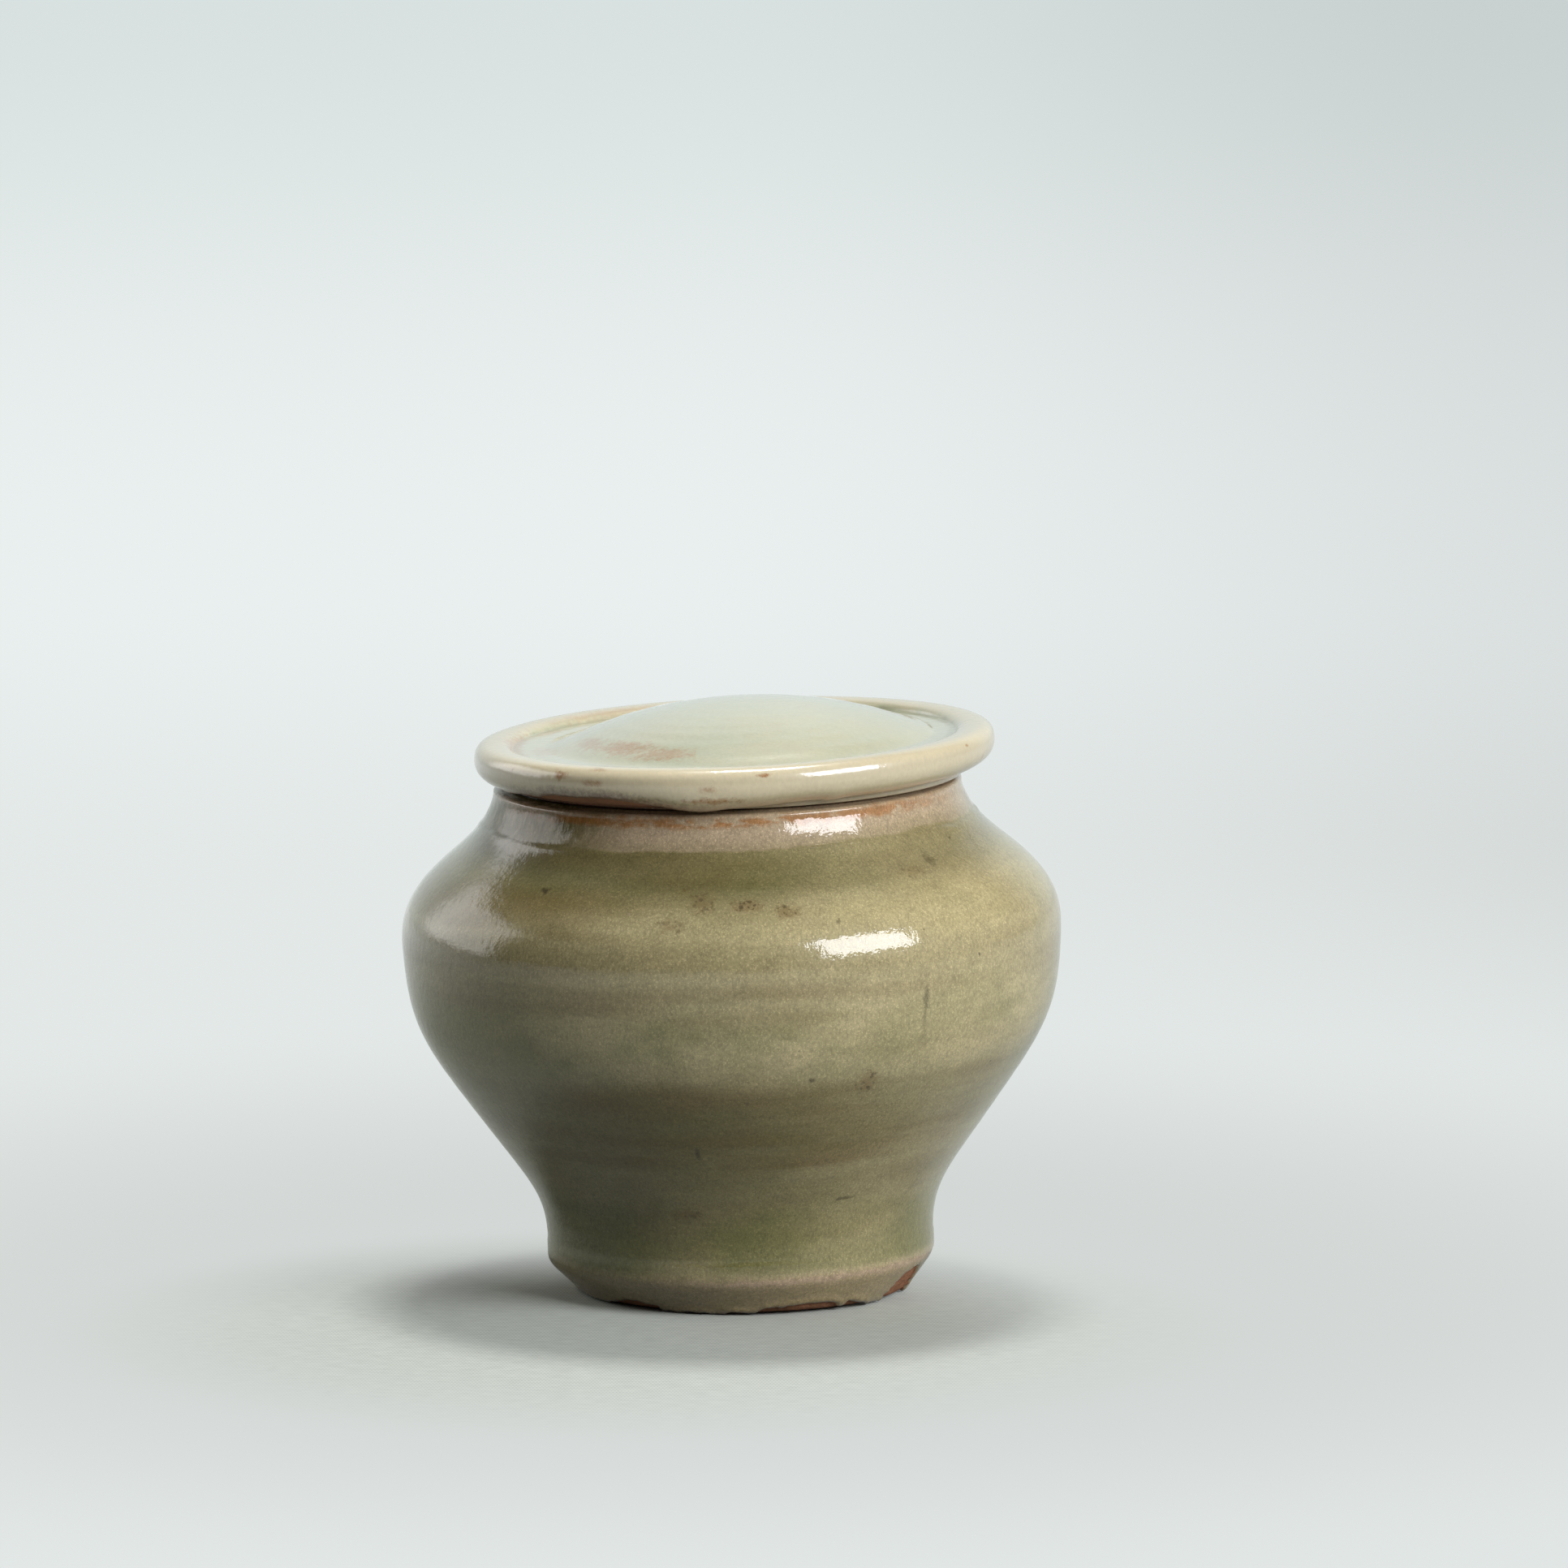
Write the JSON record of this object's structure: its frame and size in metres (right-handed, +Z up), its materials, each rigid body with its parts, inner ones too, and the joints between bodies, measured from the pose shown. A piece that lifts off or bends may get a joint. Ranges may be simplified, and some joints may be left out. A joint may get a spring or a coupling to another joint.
{
  "type": "lidded jar",
  "caption": "Small wheel-thrown celadon jar with a full belly, a trimmed foot, a short neck and a low domed lid that lifts off.",
  "frame": {"origin": "on the table, under the middle of the belly", "axes": "+Z up from the table, and the body leans from the foot towards -X"},
  "size_m": [0.1, 0.1, 0.09],
  "materials": {
    "celadon_glaze": "glossy olive celadon glaze over stoneware, bare rusty clay on the foot ring",
    "pale_celadon_glaze": "glossy pale celadon glaze over stoneware, bare clay on the seat and flange"
  },
  "bodies": {
    "jar": {"jar_body": "celadon_glaze"},
    "lid": {"lid": "pale_celadon_glaze"}
  },
  "joints": [
    {"name": "lid_lift", "type": "slide", "parent": "jar", "child": "lid", "axis": [0, 0, 1], "range_m": [0, 0.06]}
  ]
}
